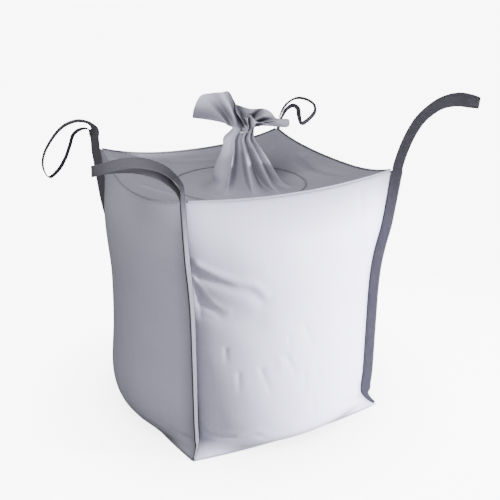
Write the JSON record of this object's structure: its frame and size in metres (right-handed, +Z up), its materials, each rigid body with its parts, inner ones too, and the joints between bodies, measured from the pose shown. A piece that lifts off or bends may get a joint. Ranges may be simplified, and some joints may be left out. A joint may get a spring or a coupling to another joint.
{
  "type": "bulk bag",
  "caption": "Filled woven bulk bag with bulging sides, corner webbing belts that run up into lifting loops, and a gathered filling spout tied shut on a dished top.",
  "frame": {"origin": "centre of the base panel's underside", "axes": "+Z up, -Y the front face, +X to the right of someone facing the front"},
  "size_m": [1.6441, 1.5985, 1.6425],
  "materials": {
    "bag_fabric": "woven",
    "webbing": "woven webbing",
    "granules": "granular"
  },
  "bodies": {
    "bag": {"contents": "granules", "base_panel": "bag_fabric", "side_panel_front": "bag_fabric", "side_panel_right": "bag_fabric", "side_panel_back": "bag_fabric", "side_panel_left": "bag_fabric", "top_panel": "bag_fabric", "spout_seam": "bag_fabric", "filling_spout": "bag_fabric", "spout_tie": "bag_fabric", "corner_seam_front_left": "bag_fabric", "corner_seam_front_right": "bag_fabric", "corner_seam_back_left": "bag_fabric", "corner_seam_back_right": "bag_fabric", "belt_front_left_front": "webbing", "belt_front_left_left": "webbing", "belt_front_right_right": "webbing", "belt_front_right_front": "webbing", "belt_back_left_left": "webbing", "belt_back_left_back": "webbing", "belt_back_right_back": "webbing", "belt_back_right_right": "webbing"},
    "loop_front_left": {"lifting_loop_front_left": "webbing"},
    "loop_front_right": {"lifting_loop_front_right": "webbing"},
    "loop_back_left": {"lifting_loop_back_left": "webbing"},
    "loop_back_right": {"lifting_loop_back_right": "webbing"},
    "ruffle": {"spout_ruffle": "bag_fabric"}
  },
  "joints": [
    {"name": "front_left_loop_swing", "type": "hinge", "parent": "bag", "child": "loop_front_left", "pos_m": [-0.553, -0.553, 1.285], "axis": [-0.7071, -0.7071, 0], "range_deg": [-70, 45]},
    {"name": "front_right_loop_swing", "type": "hinge", "parent": "bag", "child": "loop_front_right", "pos_m": [0.553, -0.553, 1.285], "axis": [0.7071, -0.7071, 0], "range_deg": [-75, 75]},
    {"name": "back_left_loop_swing", "type": "hinge", "parent": "bag", "child": "loop_back_left", "pos_m": [-0.553, 0.553, 1.325], "axis": [0.7071, 0.7071, 0], "range_deg": [-25, 75]},
    {"name": "back_right_loop_swing", "type": "hinge", "parent": "bag", "child": "loop_back_right", "pos_m": [0.553, 0.553, 1.285], "axis": [0.7071, 0.7071, 0], "range_deg": [-70, 45]},
    {"name": "spout_ruffle_flop", "type": "hinge", "parent": "bag", "child": "ruffle", "pos_m": [0, 0, 1.402], "axis": [0.878, -0.4787, 0], "range_deg": [-30, 30]}
  ]
}
